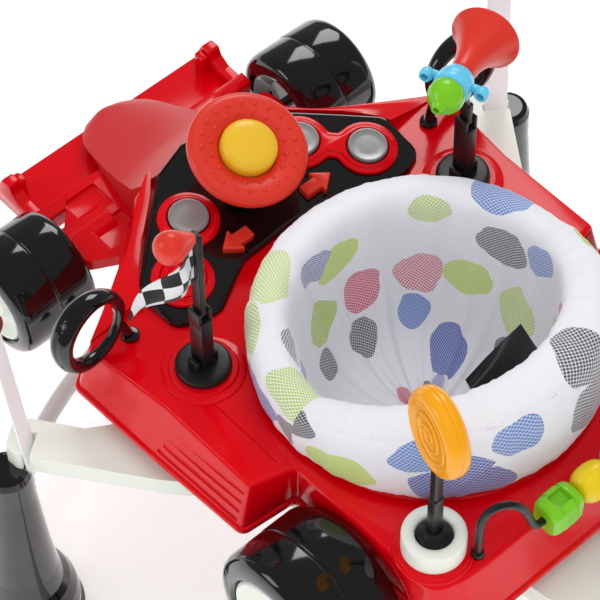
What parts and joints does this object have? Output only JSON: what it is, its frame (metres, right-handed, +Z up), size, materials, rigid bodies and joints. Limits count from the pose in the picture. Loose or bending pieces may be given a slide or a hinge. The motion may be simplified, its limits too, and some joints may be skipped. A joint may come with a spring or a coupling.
{
  "type": "baby walker",
  "caption": "Baby activity walker: racing-car play tray with padded swivel seat on a three-arm frame, lifted by straps and carried on a tubular base with caster towers.",
  "frame": {"origin": "on the floor under the middle of the walker's bounding box", "axes": "+Z up; +Y towards the rear of the car, along its length; +X towards the car's left side"},
  "size_m": [0.792, 0.86, 0.6299],
  "materials": {
    "red_gloss": "polished moulding",
    "red_satin": "satin moulding",
    "red_toy": "smooth satin",
    "black_gloss": "polished moulding",
    "black_satin": "satin moulding",
    "cream": "satin moulding",
    "tube_white": "powder coated",
    "silver": "metallic satin",
    "steel": "bright zinc",
    "rubber_black": "matt",
    "caster_grey": "satin",
    "yellow": "smooth",
    "orange": "smooth",
    "green": "smooth",
    "blue": "smooth",
    "bead_yellow": "smooth",
    "webbing": "woven",
    "seat_fabric": "printed polyester",
    "sling_fabric": "woven polyester",
    "flag_fabric": "printed polyester",
    "seat_white": "satin moulding"
  },
  "bodies": {
    "base": {"base_tubes": "tube_white", "tower_left": "black_gloss", "tower_right": "black_gloss", "tower_rear": "black_gloss", "grip_pads": "rubber_black"},
    "fork_left": {"caster_fork_left": "caster_grey"},
    "fork_right": {"caster_fork_right": "caster_grey"},
    "fork_rear": {"caster_fork_rear": "caster_grey"},
    "wheel_left": {"caster_wheel_left": "caster_grey"},
    "wheel_right": {"caster_wheel_right": "caster_grey"},
    "wheel_rear": {"caster_wheel_rear": "caster_grey"},
    "tray": {"spider_frame": "cream", "height_pins": "steel", "tray_shell": "red_gloss", "front_wing": "red_gloss", "nose_cowl": "red_satin", "axle_plate": "red_gloss", "wheel_axles": "steel", "dashboard": "black_gloss", "control_rings": "red_gloss", "mirrors": "black_gloss", "toy_bases": "black_satin", "oval_base": "cream", "bead_wire": "black_satin", "battery_door": "red_satin", "tray_screws": "steel", "straps": "webbing", "strap_rings": "steel"},
    "seat": {"seat_ring": "seat_white", "seat_pad": "seat_fabric", "seat_sling": "sling_fabric"},
    "steering": {"steering_wheel": "red_toy"},
    "horn_push": {"horn_button": "yellow"},
    "push_front_left": {"button_front_left": "silver"},
    "push_front_right": {"button_front_right": "silver"},
    "push_rear_right": {"button_rear_right": "silver"},
    "push_arrow_left": {"arrow_left": "red_toy"},
    "push_arrow_right": {"arrow_right": "red_toy"},
    "toy_wheel_front_left": {"tyre_front_left": "black_gloss", "hub_front_left": "cream"},
    "toy_wheel_front_right": {"tyre_front_right": "black_gloss", "hub_front_right": "cream"},
    "toy_wheel_rear_left": {"tyre_rear_left": "black_gloss", "hub_rear_left": "cream"},
    "toy_wheel_rear_right": {"tyre_rear_right": "black_gloss", "hub_rear_right": "cream"},
    "flag_lower": {"flag_stalk_lower": "black_satin"},
    "flag_upper": {"flag_stalk_upper": "black_satin", "flag_knob": "red_toy", "flag_cloth": "flag_fabric"},
    "horn_lower": {"horn_stalk_lower": "black_satin"},
    "horn_upper": {"horn_stalk_upper": "black_satin", "horn_bulb": "green", "horn_collar": "blue", "horn_bell": "red_toy"},
    "oval_toy": {"oval_stalk": "black_satin", "oval_disc": "orange"},
    "bead_a": {"bead_green": "green"},
    "bead_b": {"bead_yellow": "bead_yellow"},
    "bead_c": {"bead_blue": "blue"}
  },
  "joints": [
    {"name": "caster_swivel_left", "type": "hinge", "parent": "base", "child": "fork_left", "pos_m": [0.338, -0.167, 0.07], "axis": [0, 0, 1], "continuous": true},
    {"name": "caster_spin_left", "type": "hinge", "parent": "fork_left", "child": "wheel_left", "pos_m": [0.338, -0.152, 0.026], "axis": [1, 0, 0], "continuous": true},
    {"name": "caster_swivel_right", "type": "hinge", "parent": "base", "child": "fork_right", "pos_m": [-0.338, -0.167, 0.07], "axis": [0, 0, 1], "continuous": true},
    {"name": "caster_spin_right", "type": "hinge", "parent": "fork_right", "child": "wheel_right", "pos_m": [-0.338, -0.152, 0.026], "axis": [1, 0, 0], "continuous": true},
    {"name": "caster_swivel_rear", "type": "hinge", "parent": "base", "child": "fork_rear", "pos_m": [0, 0.372, 0.07], "axis": [0, 0, 1], "continuous": true},
    {"name": "caster_spin_rear", "type": "hinge", "parent": "fork_rear", "child": "wheel_rear", "pos_m": [0, 0.387, 0.026], "axis": [1, 0, 0], "continuous": true},
    {"name": "tray_lift", "type": "slide", "parent": "base", "child": "tray", "axis": [0, 0, 1], "range_m": [0, 0.06]},
    {"name": "seat_spin", "type": "hinge", "parent": "tray", "child": "seat", "pos_m": [0, 0.067, 0.4], "axis": [0, 0, 1], "continuous": true},
    {"name": "steering", "type": "hinge", "parent": "tray", "child": "steering", "pos_m": [0, -0.193, 0.471], "axis": [0, 0.342, 0.9397], "range_deg": [-90, 90]},
    {"name": "horn_press", "type": "slide", "parent": "steering", "child": "horn_push", "axis": [0, -0.342, -0.9397], "range_m": [0, 0.003], "stiffness_N_per_m": 400},
    {"name": "front_left_press", "type": "slide", "parent": "tray", "child": "push_front_left", "axis": [0, -0.1323, -0.9912], "range_m": [0, 0.002], "stiffness_N_per_m": 400},
    {"name": "front_right_press", "type": "slide", "parent": "tray", "child": "push_front_right", "axis": [0, -0.1323, -0.9912], "range_m": [0, 0.002], "stiffness_N_per_m": 400},
    {"name": "rear_right_press", "type": "slide", "parent": "tray", "child": "push_rear_right", "axis": [0, -0.1323, -0.9912], "range_m": [0, 0.002], "stiffness_N_per_m": 400},
    {"name": "arrow_left_press", "type": "slide", "parent": "tray", "child": "push_arrow_left", "axis": [0, -0.1323, -0.9912], "range_m": [0, 0.002], "stiffness_N_per_m": 400},
    {"name": "arrow_right_press", "type": "slide", "parent": "tray", "child": "push_arrow_right", "axis": [0, -0.1323, -0.9912], "range_m": [0, 0.002], "stiffness_N_per_m": 400},
    {"name": "toy_wheel_spin_front_left", "type": "hinge", "parent": "tray", "child": "toy_wheel_front_left", "pos_m": [0.19, -0.315, 0.312], "axis": [1, 0, 0], "continuous": true},
    {"name": "toy_wheel_spin_front_right", "type": "hinge", "parent": "tray", "child": "toy_wheel_front_right", "pos_m": [-0.19, -0.315, 0.312], "axis": [1, 0, 0], "continuous": true},
    {"name": "toy_wheel_spin_rear_left", "type": "hinge", "parent": "tray", "child": "toy_wheel_rear_left", "pos_m": [0.19, 0.154, 0.32], "axis": [1, 0, 0], "continuous": true},
    {"name": "toy_wheel_spin_rear_right", "type": "hinge", "parent": "tray", "child": "toy_wheel_rear_right", "pos_m": [-0.19, 0.154, 0.32], "axis": [1, 0, 0], "continuous": true},
    {"name": "flag_base_tilt", "type": "hinge", "parent": "tray", "child": "flag_lower", "pos_m": [0.169, -0.066, 0.4182], "axis": [1, 0, 0], "range_deg": [-15, 15]},
    {"name": "flag_top_tilt", "type": "hinge", "parent": "flag_lower", "child": "flag_upper", "pos_m": [0.169, -0.066, 0.492], "axis": [1, 0, 0], "range_deg": [-20, 20]},
    {"name": "horn_base_tilt", "type": "hinge", "parent": "tray", "child": "horn_lower", "pos_m": [-0.169, -0.066, 0.4182], "axis": [1, 0, 0], "range_deg": [-15, 15]},
    {"name": "horn_top_tilt", "type": "hinge", "parent": "horn_lower", "child": "horn_upper", "pos_m": [-0.169, -0.066, 0.492], "axis": [1, 0, 0], "range_deg": [-20, 20]},
    {"name": "oval_spin", "type": "hinge", "parent": "tray", "child": "oval_toy", "pos_m": [0.146, 0.222, 0.41], "axis": [0, 0, 1], "continuous": true},
    {"name": "bead_spin_a", "type": "hinge", "parent": "tray", "child": "bead_a", "pos_m": [0.043, 0.276, 0.4205], "axis": [1, 0, 0], "continuous": true},
    {"name": "bead_spin_b", "type": "hinge", "parent": "tray", "child": "bead_b", "pos_m": [0, 0.276, 0.4205], "axis": [1, 0, 0], "continuous": true},
    {"name": "bead_spin_c", "type": "hinge", "parent": "tray", "child": "bead_c", "pos_m": [-0.043, 0.276, 0.4205], "axis": [1, 0, 0], "continuous": true}
  ]
}
